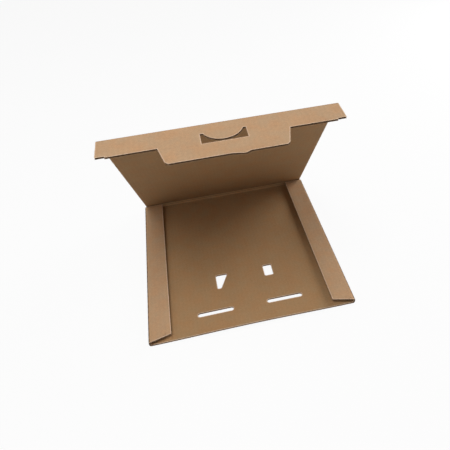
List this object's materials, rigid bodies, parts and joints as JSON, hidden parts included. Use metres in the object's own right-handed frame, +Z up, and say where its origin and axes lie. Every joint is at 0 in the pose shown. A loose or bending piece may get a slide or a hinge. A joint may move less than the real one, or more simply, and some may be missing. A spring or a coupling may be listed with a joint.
{
  "type": "corrugated mailer box",
  "caption": "Flat square mailer of corrugated kraft board: low tray with side flaps, slotted base, hinged lid and front flap with a thumb window.",
  "frame": {"origin": "centre of the underside of the tray, midway between the outsides of the side walls and between the front edge and the back wall", "axes": "+X along the lid's hinge, to the right seen from the open front; +Y from the open front to the back wall; +Z up"},
  "size_m": [0.325, 0.318, 0.2769],
  "materials": {
    "kraft_board": "matt unbleached kraft liner, brown"
  },
  "bodies": {
    "tray": {"tray": "kraft_board"},
    "lid": {"lid": "kraft_board"},
    "front_flap": {"front_flap": "kraft_board"}
  },
  "joints": [
    {"name": "lid_hinge", "type": "hinge", "parent": "tray", "child": "lid", "pos_m": [0, 0.1575, 0.01265], "axis": [1, 0, 0], "range_deg": [-124.4, 55.6]},
    {"name": "front_flap_fold", "type": "hinge", "parent": "lid", "child": "front_flap", "pos_m": [0, -0.02244, 0.27545], "axis": [1, 0, 0], "range_deg": [-58.9, 31.1]}
  ]
}
